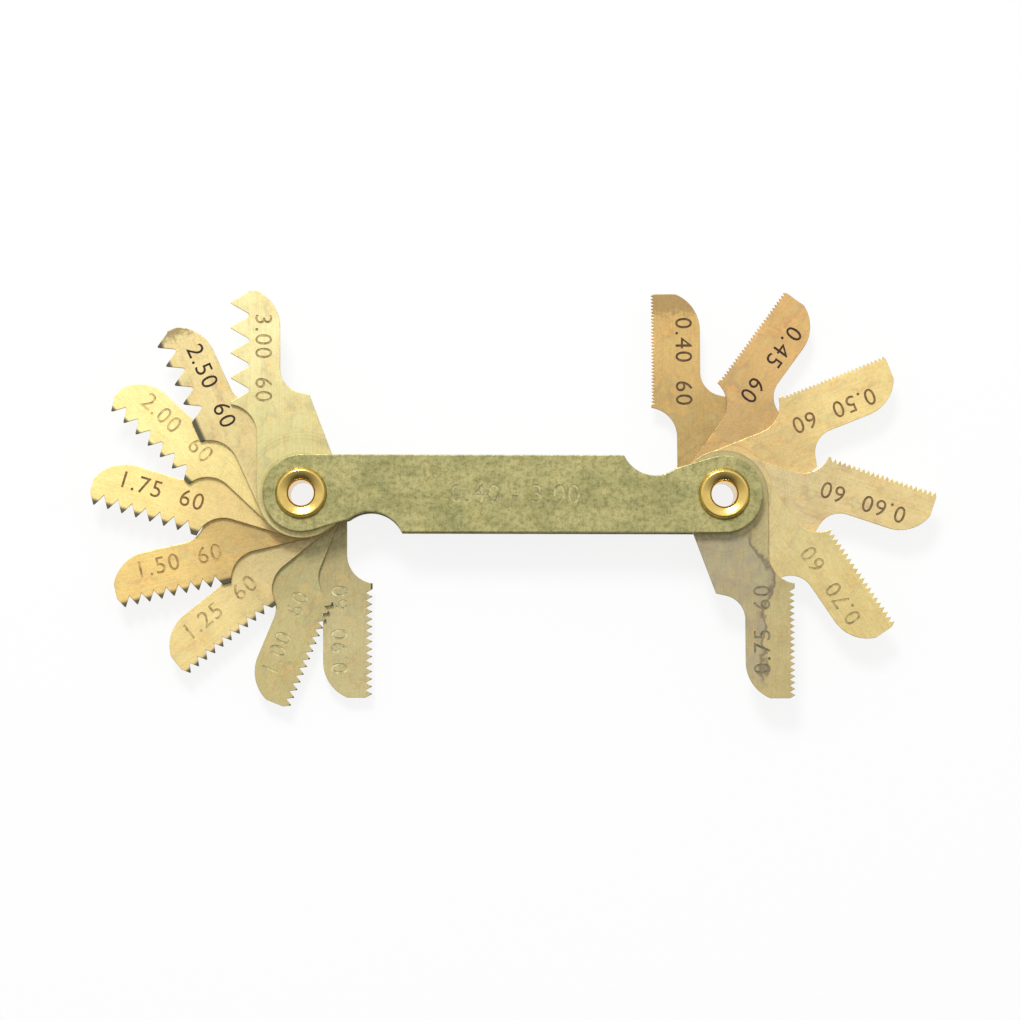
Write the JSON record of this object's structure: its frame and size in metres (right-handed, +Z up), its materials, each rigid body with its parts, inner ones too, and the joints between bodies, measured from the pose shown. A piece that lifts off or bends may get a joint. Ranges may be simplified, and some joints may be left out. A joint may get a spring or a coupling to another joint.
{
  "type": "thread pitch gauge",
  "caption": "Folding thread pitch gauge: toothed sheet-metal leaves fan out from a hollow rivet at each end of a flat holder and fold away between its side plates.",
  "frame": {"origin": "middle of the fanned-out gauge's footprint, on the surface it lies on; the holder's centre line runs 0.64 mm to +Y of it", "axes": "+X along the holder from the coarse-pitch eyelet to the fine-pitch eyelet, +Z up out of the front plate, along the eyelets"},
  "size_m": [0.1015, 0.05, 0.0066],
  "materials": {
    "holder_steel": "olive yellow passivated sheet, rubbed satin",
    "leaf_steel": "yellow passivated sheet, pale gold with iridescent stains",
    "eyelet_brass": "bright brass",
    "washer_steel": "plain passivated sheet"
  },
  "bodies": {
    "holder": {"front_plate": "holder_steel", "back_plate": "holder_steel", "left_eyelet": "eyelet_brass", "right_eyelet": "eyelet_brass", "upper_washer": "washer_steel", "lower_washer": "washer_steel"},
    "leaf_3_00": {"leaf_3_00": "leaf_steel"},
    "leaf_2_50": {"leaf_2_50": "leaf_steel"},
    "leaf_2_00": {"leaf_2_00": "leaf_steel"},
    "leaf_1_75": {"leaf_1_75": "leaf_steel"},
    "leaf_1_50": {"leaf_1_50": "leaf_steel"},
    "leaf_1_25": {"leaf_1_25": "leaf_steel"},
    "leaf_1_00": {"leaf_1_00": "leaf_steel"},
    "leaf_0_90": {"leaf_0_90": "leaf_steel"},
    "leaf_0_75": {"leaf_0_75": "leaf_steel"},
    "leaf_0_70": {"leaf_0_70": "leaf_steel"},
    "leaf_0_60": {"leaf_0_60": "leaf_steel"},
    "leaf_0_50": {"leaf_0_50": "leaf_steel"},
    "leaf_0_45": {"leaf_0_45": "leaf_steel"},
    "leaf_0_40": {"leaf_0_40": "leaf_steel"}
  },
  "joints": [
    {"name": "leaf_3_00_swing", "type": "hinge", "parent": "holder", "child": "leaf_3_00", "pos_m": [-0.02525, 0.00064, 0.00301], "axis": [0, 0, 1], "range_deg": [-20.9, 249.1]},
    {"name": "leaf_2_50_swing", "type": "hinge", "parent": "holder", "child": "leaf_2_50", "pos_m": [-0.02525, 0.00064, 0.00301], "axis": [0, 0, 1], "range_deg": [-45.2, 224.8]},
    {"name": "leaf_2_00_swing", "type": "hinge", "parent": "holder", "child": "leaf_2_00", "pos_m": [-0.02525, 0.00064, 0.00301], "axis": [0, 0, 1], "range_deg": [-67.4, 202.6]},
    {"name": "leaf_1_75_swing", "type": "hinge", "parent": "holder", "child": "leaf_1_75", "pos_m": [-0.02525, 0.00064, 0.00301], "axis": [0, 0, 1], "range_deg": [-93.9, 176.1]},
    {"name": "leaf_1_50_swing", "type": "hinge", "parent": "holder", "child": "leaf_1_50", "pos_m": [-0.02525, 0.00064, 0.00301], "axis": [0, 0, 1], "range_deg": [-123.7, 146.3]},
    {"name": "leaf_1_25_swing", "type": "hinge", "parent": "holder", "child": "leaf_1_25", "pos_m": [-0.02525, 0.00064, 0.00301], "axis": [0, 0, 1], "range_deg": [-149.2, 120.8]},
    {"name": "leaf_1_00_swing", "type": "hinge", "parent": "holder", "child": "leaf_1_00", "pos_m": [-0.02525, 0.00064, 0.00301], "axis": [0, 0, 1], "range_deg": [-178.2, 91.8]},
    {"name": "leaf_0_90_swing", "type": "hinge", "parent": "holder", "child": "leaf_0_90", "pos_m": [-0.02525, 0.00064, 0.00301], "axis": [0, 0, 1], "range_deg": [-200.6, 69.4]},
    {"name": "leaf_0_75_swing", "type": "hinge", "parent": "holder", "child": "leaf_0_75", "pos_m": [0.02525, 0.00064, 0.00301], "axis": [0, 0, 1], "range_deg": [-20.9, 249.1]},
    {"name": "leaf_0_70_swing", "type": "hinge", "parent": "holder", "child": "leaf_0_70", "pos_m": [0.02525, 0.00064, 0.00301], "axis": [0, 0, 1], "range_deg": [-54.8, 215.2]},
    {"name": "leaf_0_60_swing", "type": "hinge", "parent": "holder", "child": "leaf_0_60", "pos_m": [0.02525, 0.00064, 0.00301], "axis": [0, 0, 1], "range_deg": [-92.2, 177.8]},
    {"name": "leaf_0_50_swing", "type": "hinge", "parent": "holder", "child": "leaf_0_50", "pos_m": [0.02525, 0.00064, 0.00301], "axis": [0, 0, 1], "range_deg": [-132.3, 137.7]},
    {"name": "leaf_0_45_swing", "type": "hinge", "parent": "holder", "child": "leaf_0_45", "pos_m": [0.02525, 0.00064, 0.00301], "axis": [0, 0, 1], "range_deg": [-164.6, 105.4]},
    {"name": "leaf_0_40_swing", "type": "hinge", "parent": "holder", "child": "leaf_0_40", "pos_m": [0.02525, 0.00064, 0.00301], "axis": [0, 0, 1], "range_deg": [-201, 69]}
  ]
}
